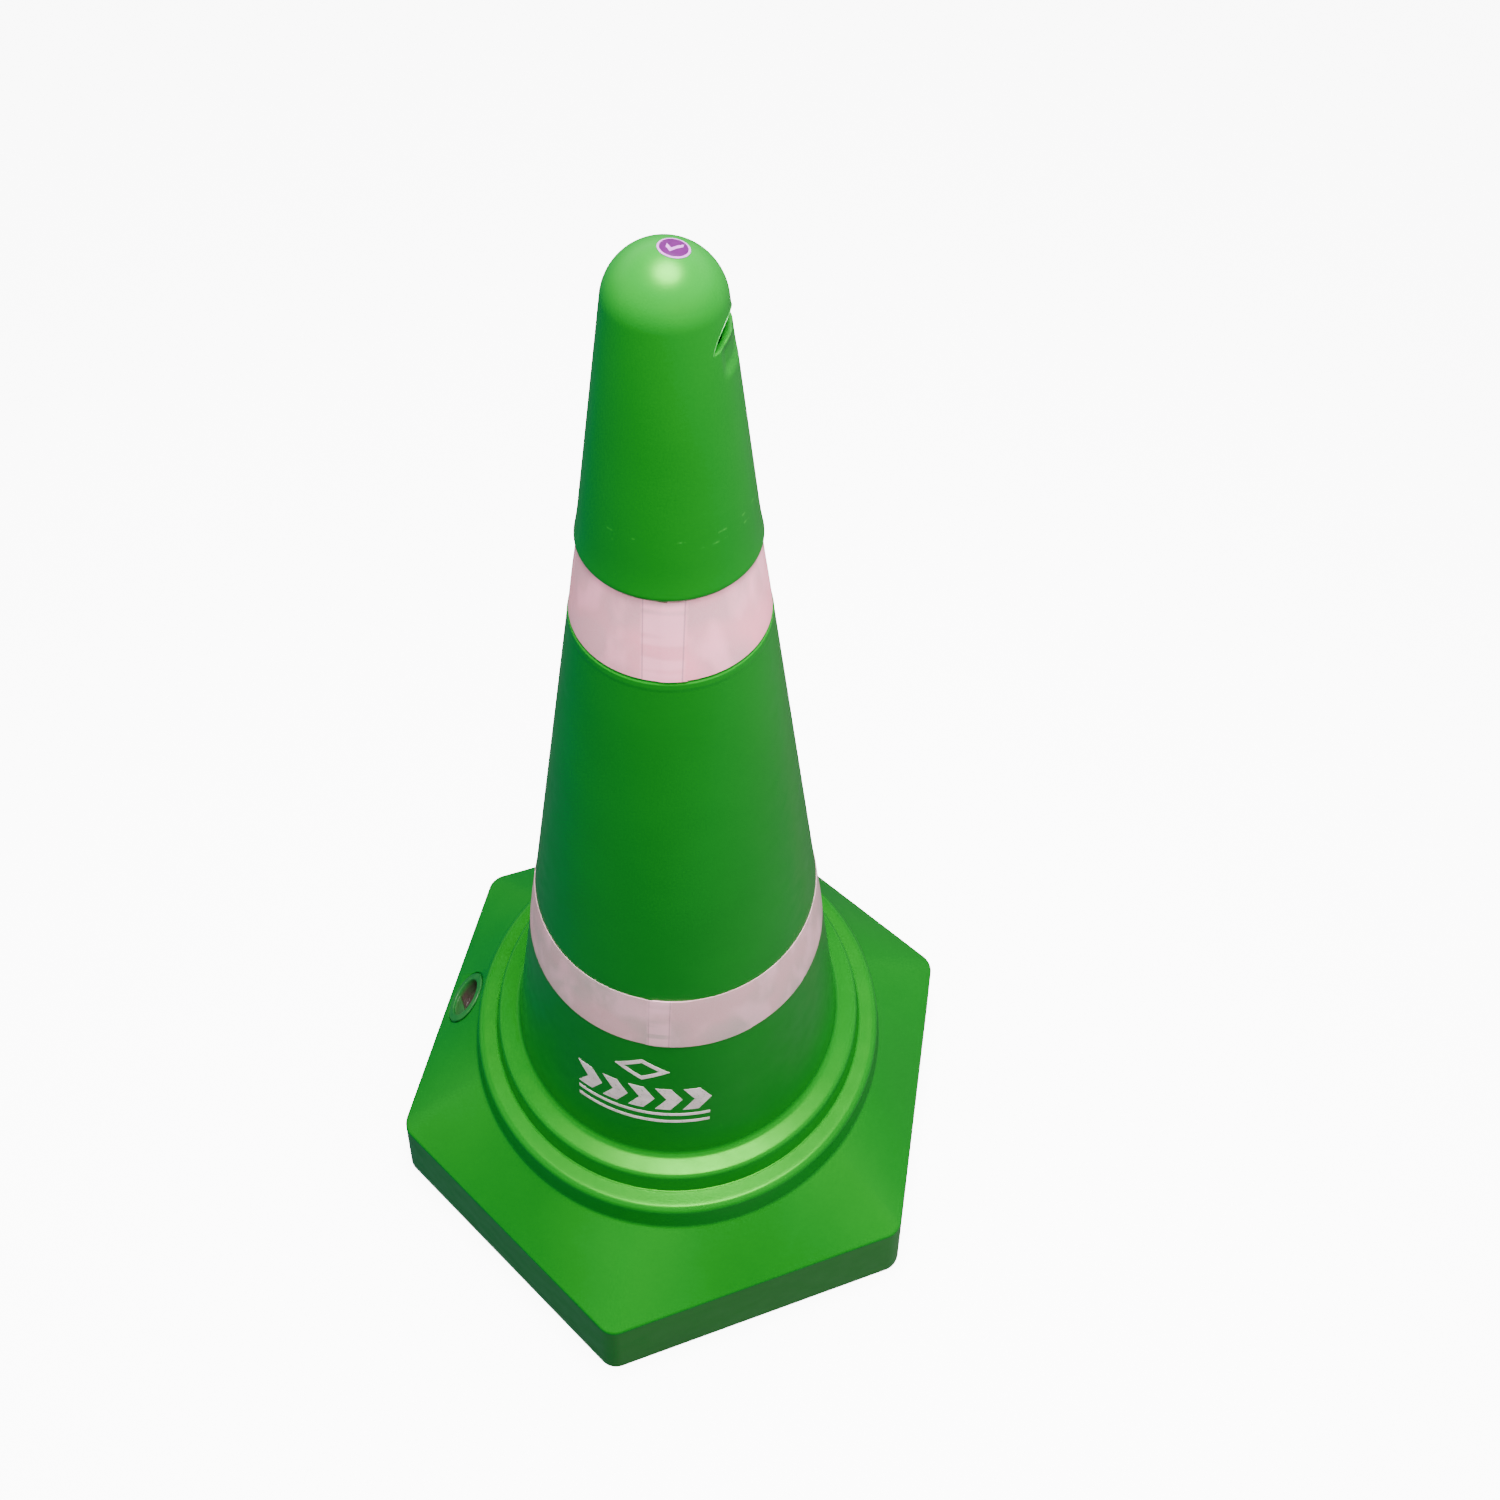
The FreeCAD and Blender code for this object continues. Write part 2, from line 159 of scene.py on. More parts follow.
# ---- bands, sticker and sand ----
BAND_THICKNESS = 0.4 * MM
BAND_GAP = 0.03 * MM               # from the wall to the band, and a little more under a lap
BAND_LAP_GAP = 0.02 * MM
BAND_EDGE = 0.12 * MM
BAND_WAVE = 0.12 * MM
BAND_LAP_RAMP = 3.0 * MM
STICKER_THICKNESS = 0.15 * MM
STICKER_FILM = 0.12 * MM
STICKER_MARK = 0.04 * MM           # the marks start just under the film's top and end above it
SAND_GAP = 0.3 * MM
SAND_DIP = 1.6 * MM
SAND_HEAP = 0.8 * MM

# ---- mesh density ----
CONE_COLUMNS = 240
PLUG_COLUMNS = 96
BAND_COLUMNS = 420
ARC_SAMPLES = 8
SIDE_SAMPLES = 22
ARC_SUPPORT = 0.35                 # the point beside an arc, as a part of the arc's radius

# ---- light, as radiance ----
SURROUND = 1.95
FLOOR_GLOW = 8.5

DOME_CENTRE = HEIGHT - STICKER_THICKNESS - DOME_RADIUS


def wall_radius(z):
    """Outer radius of the cone's wall below the upper band."""
    return FOOT_RADIUS - TAPER * (z - FOOT_HEIGHT)


def seat_radius(z):
    """Radius of the shallow seat that the upper band lies in."""
    return wall_radius(z) - SEAT_DEPTH


def tangent_cone_radius(z, radius, taper):
    """Radius at height z of a cone that is tangent to the dome's sphere."""
    angle = math.atan(taper)
    return radius * math.cos(angle) + taper * (DOME_CENTRE + radius * math.sin(angle) - z)


# ---- meshes ----

def add_piece(name, vertices, faces, material, sharp_angle=40.0):
    """New mesh object with smooth shading, and sharp edges where faces meet steeply."""
    mesh = bpy.data.meshes.new(name)
    if isinstance(faces, np.ndarray):
        faces = faces.tolist()
    mesh.from_pydata(np.asarray(vertices).tolist(), [], faces)
    mesh.update()
    piece = bpy.data.objects.new(name, mesh)
    bpy.context.scene.collection.objects.link(piece)
    finish_mesh(piece, material, sharp_angle)
    return piece


def finish_mesh(piece, material, sharp_angle):
    """Smooth shading with sharp edges past an angle in degrees, and the material if there is one."""
    piece.data.shade_smooth()
    piece.data.set_sharp_from_angle(angle=math.radians(sharp_angle))
    if material:
        piece.data.materials.clear()
        piece.data.materials.append(material)


def grid_faces(rows, columns, close_rows=True, start=0):
    """Quads of a grid whose columns wrap round, and whose rows may too."""
    i = np.arange(rows if close_rows else rows - 1)[:, None]
    j = np.arange(columns)[None, :]
    below, above = i * columns, (i + 1) % rows * columns
    after = (j + 1) % columns
    quads = np.stack([below + j, below + after, above + after, above + j], -1)
    return quads.reshape(-1, 4) + start


def capped_tube(rows):
    """Vertices and faces of a tube whose rows are its cross-sections, closed at both ends."""
    count, columns = rows.shape[:2]
    faces = grid_faces(count, columns, close_rows=False).tolist()
    faces.append(list(range(columns))[::-1])
    faces.append(list(range((count - 1) * columns, count * columns)))
    return rows.reshape(-1, 3), faces


def rounded(outline, steps=8):
    """Closed path through (corner, radius in mm) pairs, each corner rounded to its radius.

    A corner is a point or a ring of points, so that a whole ring of paths is rounded at once.
    A point on each side of an arc holds the shading flat beside it.
    """
    corners = [corner for corner, _ in outline]
    path = []
    for i, (corner, size) in enumerate(outline):
        here = np.asarray(corner, float)
        if not size:
            path.append(here)
            continue
        radius = size * MM
        back = np.asarray(corners[i - 1]) - here
        ahead = np.asarray(corners[(i + 1) % len(corners)]) - here
        back = back / np.linalg.norm(back, axis=-1, keepdims=True)
        ahead = ahead / np.linalg.norm(ahead, axis=-1, keepdims=True)
        half = np.arccos(np.clip((back * ahead).sum(-1, keepdims=True), -1, 1)) / 2
        reach = radius / np.tan(half)
        middle = back + ahead
        middle = middle / np.linalg.norm(middle, axis=-1, keepdims=True)
        centre = here + middle * radius / np.sin(half)
        start, end = here + back * reach, here + ahead * reach
        turn = math.pi - 2 * half
        path.append(start + back * radius * ARC_SUPPORT)
        for k in range(steps + 1):
            t = k / steps
            arm = np.sin((1 - t) * turn) * (start - centre) + np.sin(t * turn) * (end - centre)
            path.append(centre + arm / np.sin(turn))
        path.append(end + ahead * radius * ARC_SUPPORT)
    return np.array(path)


def turned(profile, angles):
    """Rows of points from an (r, z) profile turned about Z through the angles."""
    profile = np.asarray(profile)
    r, z = profile[:, None, 0], profile[:, None, 1]
    return np.stack([r * np.cos(angles), r * np.sin(angles), z + 0 * angles], -1)


def full_turn(columns):
    """Evenly spaced angles round a whole turn."""
    return np.arange(columns) * (2 * math.pi / columns)


def along_axis(points, origin, axis, across):
    """Moves points from a local frame (across, side, axis) into the part's frame."""
    side = axis.cross(across)
    turn = np.array([across, side, axis])
    return np.asarray(points) @ turn + np.array(origin)


def boolean(piece, tool, operation):
    """Applies a tool to a piece and removes the tool."""
    modifier = piece.modifiers.new("cut", "BOOLEAN")
    modifier.operation = operation
    modifier.solver = "MANIFOLD"
    modifier.object = tool
    graph = bpy.context.evaluated_depsgraph_get()
    mesh = bpy.data.meshes.new_from_object(piece.evaluated_get(graph))
    piece.modifiers.clear()
    piece.data = mesh
    bpy.data.objects.remove(tool)


# ---- distance fields, for moulded shapes that blend into each other ----

def round_union(a, b, radius):
    """Field of two shapes together, with the inner edge between them rounded."""
    reach = np.hypot(np.maximum(radius - a, 0), np.maximum(radius - b, 0))
    return np.maximum(radius, np.minimum(a, b)) - reach


def round_common(a, b, radius):
    """Field of what two shapes share, with the outer edge between them rounded."""
    reach = np.hypot(np.maximum(radius + a, 0), np.maximum(radius + b, 0))
    return np.minimum(-radius, np.maximum(a, b)) + reach


def surface_net(field, axes):
    """Quads round the zero surface of a field, one vertex in each grid cell that it crosses."""
    points = np.stack(np.meshgrid(*axes, indexing="ij"), -1)
    values = field(points)
    inside = values < 0
    cells = [n - 1 for n in inside.shape]

    def corner(array, offset):
        return array[tuple(slice(o, o + n) for o, n in zip(offset, cells))]

    offsets = [(i, j, k) for i in (0, 1) for j in (0, 1) for k in (0, 1)]
    count = sum(corner(inside, o).astype(int) for o in offsets)
    active = (count > 0) & (count < 8)
    total = np.zeros((int(active.sum()), 3))
    hits = np.zeros(int(active.sum()))
    for first in offsets:
        for axis in range(3):
            if first[axis]:
                continue
            second = tuple(1 if n == axis else o for n, o in enumerate(first))
            a, b = corner(values, first)[active], corner(values, second)[active]
            crossed = (a < 0) != (b < 0)
            t = np.where(crossed, a / np.where(crossed, a - b, 1), 0)[:, None]
            at = corner(points, first)[active] * (1 - t) + corner(points, second)[active] * t
            total += at * crossed[:, None]
            hits += crossed
    vertices = total / hits[:, None]
    number = np.full(cells, -1)
    number[active] = np.arange(len(vertices))
    faces = []
    for axis in range(3):
        low = np.moveaxis(inside, axis, 0)[:-1]
        high = np.moveaxis(inside, axis, 0)[1:]
        rest = [n for n in range(3) if n != axis]
        i, j, k = np.nonzero(low != high)
        keep = (j > 0) & (k > 0) & (j < cells[rest[0]]) & (k < cells[rest[1]])
        i, j, k = i[keep], j[keep], k[keep]
        moved = np.moveaxis(number, axis, 0)
        quads = np.stack([moved[i, j - 1, k - 1], moved[i, j, k - 1],
                          moved[i, j, k], moved[i, j - 1, k]], -1)
        outward = low[i, j, k] if axis != 1 else ~low[i, j, k]
        faces.append(np.where(outward[:, None], quads, quads[:, ::-1]))
    return vertices, np.concatenate(faces)


def settle(points, field):
    """Moves points onto the zero surface of a field, along its gradient."""
    step, rounds, furthest = 0.02 * MM, 5, 0.5 * MM
    least_slope_squared = 0.05
    points = points.copy()
    for _ in range(rounds):
        slope = np.stack([(field(points + e) - field(points - e)) / (2 * step)
                          for e in np.eye(3) * step], -1)
        move = field(points) / np.maximum((slope ** 2).sum(-1), least_slope_squared)
        points -= slope * np.clip(move, -furthest, furthest)[:, None]
    return points


def spaced(*spans):
    """Grid lines from (start, end, spacing) spans that follow each other."""
    lines = [np.linspace(a, b, max(2, int(round(abs(b - a) / h)) + 1))[:-1] for a, b, h in spans]
    return np.concatenate(lines + [[spans[-1][1]]])


# ---- materials ----

GREEN = (0.0006, 0.112, 0.007, 1)
DEEP_GREEN = (0.0005, 0.103, 0.0065, 1)
SCUFFED_GREEN = (0.003, 0.14, 0.01, 1)
# paler green of the rubbed marks: real wear, with a painted glint on it
RUBBED_GLINT_GREEN = (0.012, 0.21, 0.018, 1)
GREEN_SHEEN = (0.18, 1.0, 0.05, 1)
RUB_AND_GLINT_HEIGHTS = (628.8 * MM, 633.4 * MM)
CLEAN_SHEETING = ((0.85, 0.26, 0.36, 1), (0.6, 0.26, 0.32, 1), (1.0, 0.37, 0.52, 1))
DUSTY_SHEETING = ((0.5, 0.26, 0.29, 1), (0.36, 0.25, 0.25, 1), (0.7, 0.36, 0.44, 1))
SEAM_BROWN = (0.22, 0.12, 0.14, 1)
BEAD_GLINT = (0.9, 0.75, 0.78, 1)
MAGENTA, DEEP_MAGENTA = (0.045, 0.0003, 0.05, 1), (0.036, 0.0002, 0.042, 1)
LILAC, DEEP_LILAC = (0.28, 0.09, 0.3, 1), (0.24, 0.07, 0.27, 1)


class Shader:
    """A material's node tree, with one Principled shader, built node by node."""

    def __init__(self, name):
        self.material = bpy.data.materials.new(name)
        self.material.use_nodes = True
        self.tree = self.material.node_tree
        self.surface = self.tree.nodes["Principled BSDF"]
        self.place = self.node("TexCoord").outputs["Object"]

    def node(self, kind, settings=None, **inputs):
        made = self.tree.nodes.new("ShaderNode" + kind)
        for key, value in (settings or {}).items():
            setattr(made, key, value)
        for key, value in inputs.items():
            self.put(made.inputs[key.replace("_", " ")], value)
        return made

    def put(self, socket, value):
        if isinstance(value, bpy.types.NodeSocket):
            self.tree.links.new(value, socket)
        else:
            socket.default_value = value

    def noise(self, size, detail=2.0, stretch=None):
        """Noise from 0 to 1 whose features are about this size."""
        place = self.place
        if stretch:
            place = self.node("Mapping", Vector=place, Scale=stretch).outputs[0]
        made = self.node("TexNoise", Vector=place, Scale=1 / size, Detail=detail)
        return made.outputs["Fac"]

    def ramp(self, value, low, high, to_low=0.0, to_high=1.0):
        """A value from low to high carried over to a value from to_low to to_high."""
        made = self.node("MapRange", {"clamp": True})
        for index, item in enumerate((value, low, high, to_low, to_high)):
            self.put(made.inputs[index], item)
        return made.outputs[0]

    def math(self, operation, a, b=0.0):
        made = self.node("Math", {"operation": operation})
        self.put(made.inputs[0], a)
        self.put(made.inputs[1], b)
        return made.outputs[0]

    def mix(self, share, a, b):
        """Colour a, or b where share is 1."""
        made = self.node("Mix", {"data_type": "RGBA"})
        self.put(made.inputs["Factor"], share)
        self.put(made.inputs[6], a)
        self.put(made.inputs[7], b)
        return made.outputs[2]

    def split_place(self):
        """The outputs X, Y and Z of the place in the part's frame."""
        return self.node("SeparateXYZ", Vector=self.place).outputs

    def distance(self, a, b):
        """How far apart two values are."""
        return self.math("ABSOLUTE", self.math("SUBTRACT", a, b))

    def along(self, axis):
        """How far the place lies along an axis through the origin."""
        made = self.node("VectorMath", {"operation": "DOT_PRODUCT"})
        self.put(made.inputs[0], self.place)
        self.put(made.inputs[1], tuple(axis))
        return made.outputs["Value"]

    def bump(self, *layers):
        """Relief from (height from 0 to 1, depth in metres) layers."""
        normal = None
        for relief, depth in layers:
            made = self.node("Bump", Height=relief, Strength=1.0, Distance=depth)
            if normal:
                self.put(made.inputs["Normal"], normal)
            normal = made.outputs["Normal"]
        self.set(Normal=normal)

    def set(self, **inputs):
        for key, value in inputs.items():
            self.put(self.surface.inputs[key.replace("_", " ")], value)


def rub_and_glint_marks(shader, heights):
    """Rows of short rubbed dashes with painted glints round the cone at these heights, 0 to 1."""
    z = shader.split_place()["Z"]
    share = 0.0
    for height in heights:
        away = shader.distance(z, height)
        share = shader.math("MAXIMUM", share, shader.ramp(away, 0.2 * MM, 0.5 * MM, 1.0, 0.0))
    dashes = shader.ramp(shader.noise(5 * MM, 3.0, stretch=(1, 1, 0.3)), 0.55, 0.64)
    return shader.math("MULTIPLY", share, dashes)


def moulded_plastic(name, marks=()):
    """Satin green plastic: faint colour drift, fine skin texture, faint scuffs, rubbed marks painted
    paler as glints.
    """
    shader = Shader(name)
    drift = shader.ramp(shader.noise(60 * MM, 3.0), 0.35, 0.65)
    base = shader.mix(drift, DEEP_GREEN, GREEN)
    scuffs = shader.ramp(shader.noise(9 * MM, 3.0, stretch=(1, 1, 6)), 0.5, 0.95, 0.0, 0.12)
    base = shader.mix(scuffs, base, SCUFFED_GREEN)
    if marks:
        # rubbed marks, painted paler as the glints on the scuffed rings
        base = shader.mix(rub_and_glint_marks(shader, marks), base, RUBBED_GLINT_GREEN)
    worn = shader.ramp(shader.noise(14 * MM, 5.0), 0.3, 0.7, 0.285, 0.36)
    shader.set(Base_Color=base, Roughness=worn, Specular_IOR_Level=0.5, Specular_Tint=GREEN_SHEEN)
    shader.bump((shader.noise(0.8 * MM, 2.0), 0.003 * MM), (shader.noise(40 * MM, 1.0), 0.05 * MM))
    return shader.material


def plug_plastic():
    """Dull plastic of the plug, with painted shade in its hollow, darker the deeper it lies."""
    shader = Shader("plug_plastic")
    height = shader.along(PLUG_AXIS)
    slope = PLUG_AXIS.dot(PLUG_CENTRE)
    drift = shader.ramp(shader.noise(12 * MM, 3.0), 0.35, 0.65)
    rim = shader.mix(drift, (0.006, 0.085, 0.012, 1), (0.012, 0.105, 0.018, 1))
    # painted shade: dark brown-green colours for the cup's shaded hollow
    hollow_shade = shader.mix(drift, (0.035, 0.022, 0.018, 1), (0.02, 0.035, 0.015, 1))
    deep = shader.ramp(height, slope - 4.5 * MM, slope - 0.8 * MM, 1.0, 0.0)
    worn = shader.ramp(shader.noise(6 * MM, 4.0), 0.3, 0.7, 0.32, 0.5)
    shader.set(Base_Color=shader.mix(deep, rim, hollow_shade), Roughness=worn, Specular_IOR_Level=0.3)
    shader.bump((shader.noise(0.8 * MM, 2.0), 0.004 * MM), (shader.noise(9 * MM, 2.0), 0.04 * MM))
    return shader.material


def flash_painted_highlight():
    """Thin plastic along a moulded edge, painted paler than the cone as a highlight."""
    shader = Shader("flash_painted_highlight")
    tone = shader.ramp(shader.noise(3 * MM, 2.0), 0.35, 0.65)
    # painted highlight: paler greens that stand in for the light the line of flash catches
    pale = shader.mix(tone, (0.008, 0.16, 0.014, 1), (0.05, 0.3, 0.06, 1))
    shader.set(Base_Color=pale, Roughness=0.3)
    return shader.material


def reflective_sheeting(name, tones, lap_middle, lap_half_width):
    """Pinkish-grey glass-bead sheeting, with patches of tone, painted soft reflections and fine
    painted bead glints.

    Where its ends lap, at this place along X on the front, pale bars cross the strip.
    """
    pink, grey, pale = tones
    shader = Shader(name)
    patches = shader.ramp(shader.noise(45 * MM, 2.0), 0.4, 0.62)
    base = shader.mix(patches, grey, pink)
    streaks = shader.ramp(shader.noise(16 * MM, 3.0, stretch=(1, 1, 0.5)), 0.55, 0.75, 0.0, 0.6)
    base = shader.mix(streaks, base, pale)
    place = shader.split_place()
    away = shader.distance(place["X"], lap_middle)
    front = shader.ramp(place["Y"], -20 * MM, -10 * MM, 1.0, 0.0)
    lap = shader.ramp(away, lap_half_width, lap_half_width + 1.5 * MM, 1.0, 0.0)
    lap = shader.math("MULTIPLY", lap, front)
    bars = shader.ramp(shader.noise(9 * MM, 1.0, stretch=(0.12, 0.12, 1)), 0.46, 0.54, 0.12, 0.75)
    base = shader.mix(shader.math("MULTIPLY", lap, bars), base, pale)
    seam = shader.ramp(shader.distance(away, lap_half_width), 0.15 * MM, 0.5 * MM, 0.55, 0.0)
    base = shader.mix(shader.math("MULTIPLY", seam, front), base, SEAM_BROWN)
    # painted reflection: soft pale streaks that stand in for the lamp's light on the sheeting's
    # undulations
    painted_sheen = shader.ramp(shader.noise(13 * MM, 1.0, stretch=(0.5, 1, 0.35)), 0.56, 0.68, 0.0, 0.5)
    base = shader.mix(painted_sheen, base, pale)
    # painted glints: fine pale specks for the light that the glass beads catch
    bead_glints = shader.ramp(shader.noise(0.5 * MM, 1.0), 0.3, 0.7, 0.0, 0.12)
    base = shader.mix(bead_glints, base, BEAD_GLINT)
    shader.set(Base_Color=base, Roughness=0.38)
    shader.bump((shader.noise(0.5 * MM, 1.0), 0.01 * MM), (shader.noise(12 * MM, 2.0), 0.08 * MM))
    return shader.material


def printed_ink():
    """Pale ink with small worn specks that show the green under it."""
    shader = Shader("printed_ink")
    worn = shader.ramp(shader.noise(1.2 * MM, 4.0), 0.6, 0.68)
    tone = shader.ramp(shader.noise(10 * MM, 2.0), 0.35, 0.65)
    ink = shader.mix(tone, (0.46, 0.37, 0.39, 1), (0.6, 0.5, 0.52, 1))
    shader.set(Base_Color=shader.mix(worn, ink, (0.1, 0.3, 0.1, 1)), Roughness=0.5)
    shader.bump((shader.noise(0.8 * MM, 2.0), 0.01 * MM))
    return shader.material


def sticker_film(name, colour, deep_colour):
    """Printed plastic film of the sticker."""
    shader = Shader(name)
    tone = shader.ramp(shader.noise(2.5 * MM, 3.0), 0.35, 0.65)
    base = shader.mix(tone, deep_colour, colour)
    shader.set(Base_Color=base, Roughness=0.35, Specular_IOR_Level=0.2)
    shader.bump((shader.noise(1.5 * MM, 2.0), 0.01 * MM))
    return shader.material


def loose_sand():
    """Dry sand grains."""
    shader = Shader("loose_sand")
    grains = shader.noise(0.9 * MM, 3.0)
    base = shader.mix(shader.ramp(grains, 0.3, 0.7), (0.3, 0.2, 0.11, 1), (0.62, 0.48, 0.3, 1))
    shader.set(Base_Color=base, Roughness=0.95)
    shader.bump((grains, 0.4 * MM))
    return shader.material


# ---- cone ----

def arch_radius(half_width, rise):
    """Radius of an arc with this half-width and rise."""
    return (half_width ** 2 + rise ** 2) / (2 * rise)


def arch(y, z, half_width, low, apex, softness):
    """Distance to an arch over a flat sill, seen along X."""
    radius = arch_radius(half_width, apex - low)
    return round_common(np.hypot(y, z - apex + radius) - radius, low - z, softness)


def smooth_step(value, start, end):
    """0 before start, 1 after end, and a smooth rise between them."""
    t = np.clip((value - start) / (end - start), 0, 1)
    return t * t * (3 - 2 * t)


def head_field(points):
    """Distance to the head's wall, with its hook: a pocket, a slot and a tongue, on +X."""
    x, y, z = points[..., 0], points[..., 1], points[..., 2]
    r = np.hypot(x, y)

    def domed(radius, taper):
        angle = math.atan(taper)
        rise = z - DOME_CENTRE
        side = math.cos(angle) * r + math.sin(angle) * rise - radius
        beyond = math.cos(angle) * rise - math.sin(angle) * r > 0
        return np.where(beyond, np.hypot(r, rise) - radius, side)

    def opening(grow, softness):
        return arch(y, z, HOOK_HALF_WIDTH + grow, HOOK_SILL - grow, HOOK_APEX + grow, softness)

    def slot(grow):
        sides = round_common(np.abs(y) - SLOT_HALF_WIDTH - grow, SLOT_FLOOR - grow - z, 1.2 * MM)
        return np.maximum(sides, z - HOOK_SILL - 1 * MM - grow)

    outer = domed(DOME_RADIUS, HEAD_TAPER)
    inner = domed(DOME_RADIUS - CONE_WALL, HEAD_INNER_TAPER)
    foot, low, high, top = TONGUE_SINK_SPAN
    sunk = smooth_step(z, foot, low) * (1 - smooth_step(z, high, top)) * (x > 0)
    sunk = sunk * (1 - smooth_step(np.abs(y), TONGUE_HALF_WIDTH - TONGUE_SINK_BLEND,
                                   TONGUE_HALF_WIDTH + TONGUE_SINK_BLEND))
    solid = outer + TONGUE_SINK * sunk
    walls = np.maximum(np.minimum(opening(CONE_WALL, 0.8 * MM), slot(CONE_WALL)),
                       POCKET_BACK - CONE_WALL - x)
    shell = np.maximum(solid, -np.maximum(inner, -walls))
    tongue = np.maximum(arch(y, z, TONGUE_HALF_WIDTH, HOOK_SILL - 1 * MM, TONGUE_TOP, 0.5 * MM),
                        SLOT_FRONT - x)
    pocket = round_common(opening(0, 0.8 * MM), -tongue, 0.7 * MM)
    pocket = np.maximum(pocket, POCKET_BACK - x)
    link_slot = np.maximum(np.maximum(slot(0), POCKET_BACK - x), x - SLOT_FRONT)
    pocket = np.minimum(pocket, link_slot)
    return round_common(shell, -pocket, MOUTH_ROUND)


def head_radius(z):
    """Outer radius of the head's wall."""
    return tangent_cone_radius(z, DOME_RADIUS, HEAD_TAPER)


def head_skin_radius(z):
    """Outer radius of the head or, above its wall, of the dome."""
    rise = z - DOME_CENTRE
    if rise > DOME_RADIUS * math.sin(math.atan(HEAD_TAPER)):
        return math.sqrt(DOME_RADIUS ** 2 - rise ** 2)
    return head_radius(z)


def head_inner_radius(z):
    """Inner radius of the head's wall."""
    return tangent_cone_radius(z, DOME_RADIUS - CONE_WALL, HEAD_INNER_TAPER)


def make_head(material, cut_height):
    """The head above cut_height, which the upper band hides: a net above, turned below."""
    margin = 1.5 * MM
    reach = head_radius(HEAD_CUT) + margin
    fine, middling, coarse = 0.5 * MM, 0.8 * MM, 1.1 * MM
    hook_back, hook_side, hook_low, hook_high = 12 * MM, 17 * MM, 699 * MM, 729 * MM
    x_lines = spaced((-reach, hook_back, coarse), (hook_back, reach, fine))
    y_lines = spaced((-reach, -hook_side, coarse), (-hook_side, hook_side, fine),
                     (hook_side, reach, coarse))
    z_lines = spaced((HEAD_CUT, hook_low, coarse), (hook_low, hook_high, fine),
                     (hook_high, HEIGHT + margin, middling))
    vertices, faces = surface_net(head_field, (x_lines, y_lines, z_lines))
    vertices = settle(vertices, head_field)

    # The net's open rim carries on downwards as turned walls, with a column for each rim vertex.
    edges = np.sort(np.stack([faces, np.roll(faces, -1, 1)], -1).reshape(-1, 2), 1)
    pairs, uses = np.unique(edges, axis=0, return_counts=True)
    rim = np.unique(pairs[uses == 1])
    rim_radius = np.hypot(vertices[rim, 0], vertices[rim, 1])
    between = (head_radius(HEAD_CUT) + head_inner_radius(HEAD_CUT)) / 2
    outer_loop, inner_loop = rim[rim_radius > between], rim[rim_radius <= between]
    outline = []
    for t in (0, 0.25, 0.5, 0.7, 1):
        z = BULGE_TOP + t * (SEAT_TOP - BULGE_TOP)
        outline.append(((head_radius(z) + HEAD_BULGE * t * t, z), 2.4 if t == 1 else 0))
    seat_edge = SEAT_TOP - SEAT_DEPTH
    outline.append(((seat_radius(seat_edge), seat_edge), 0.3))
    outline.append(((seat_radius(cut_height), cut_height), 0))
    outer_profile = rounded(outline, steps=6)
    inner_profile = np.array([(head_inner_radius(SEAT_TOP), SEAT_TOP),
                              (seat_radius(cut_height) - CONE_WALL, cut_height)])
    all_vertices, all_faces = [vertices], [faces]
    start = len(vertices)
    ends = []
    for loop, profile, outward in ((outer_loop, outer_profile, True),
                                   (inner_loop, inner_profile, False)):
        angles = np.arctan2(vertices[loop, 1], vertices[loop, 0])
        order = np.argsort(angles)
        loop, angles = loop[order], angles[order]
        rows = turned(profile, angles)
        count = len(loop)
        numbers = np.concatenate([loop, start + np.arange(rows.shape[0] * count)])
        quads = numbers[grid_faces(len(profile) + 1, count, close_rows=False)]
        all_vertices.append(rows.reshape(-1, 3))
        all_faces.append(quads[:, ::-1] if outward else quads)
        start += rows.shape[0] * count
        ends.append((numbers[-count:], angles))
    piece = add_piece("cone_head", np.concatenate(all_vertices), np.concatenate(all_faces), None)
    close_ring(piece, ends[0][0], ends[1][0])
    finish_mesh(piece, material, 50.0)
    return piece


def close_ring(piece, outer, inner):
    """Joins two loops of vertices with a flat ring of faces."""
    mesh = bmesh.new()
    mesh.from_mesh(piece.data)
    mesh.verts.ensure_lookup_table()
    chosen = set(int(n) for n in np.concatenate([outer, inner]))
    rim = [e for e in mesh.edges if e.is_boundary and e.verts[0].index in chosen]
    bmesh.ops.bridge_loops(mesh, edges=rim)
    bmesh.ops.recalc_face_normals(mesh, faces=mesh.faces)
    mesh.to_mesh(piece.data)
    mesh.free()


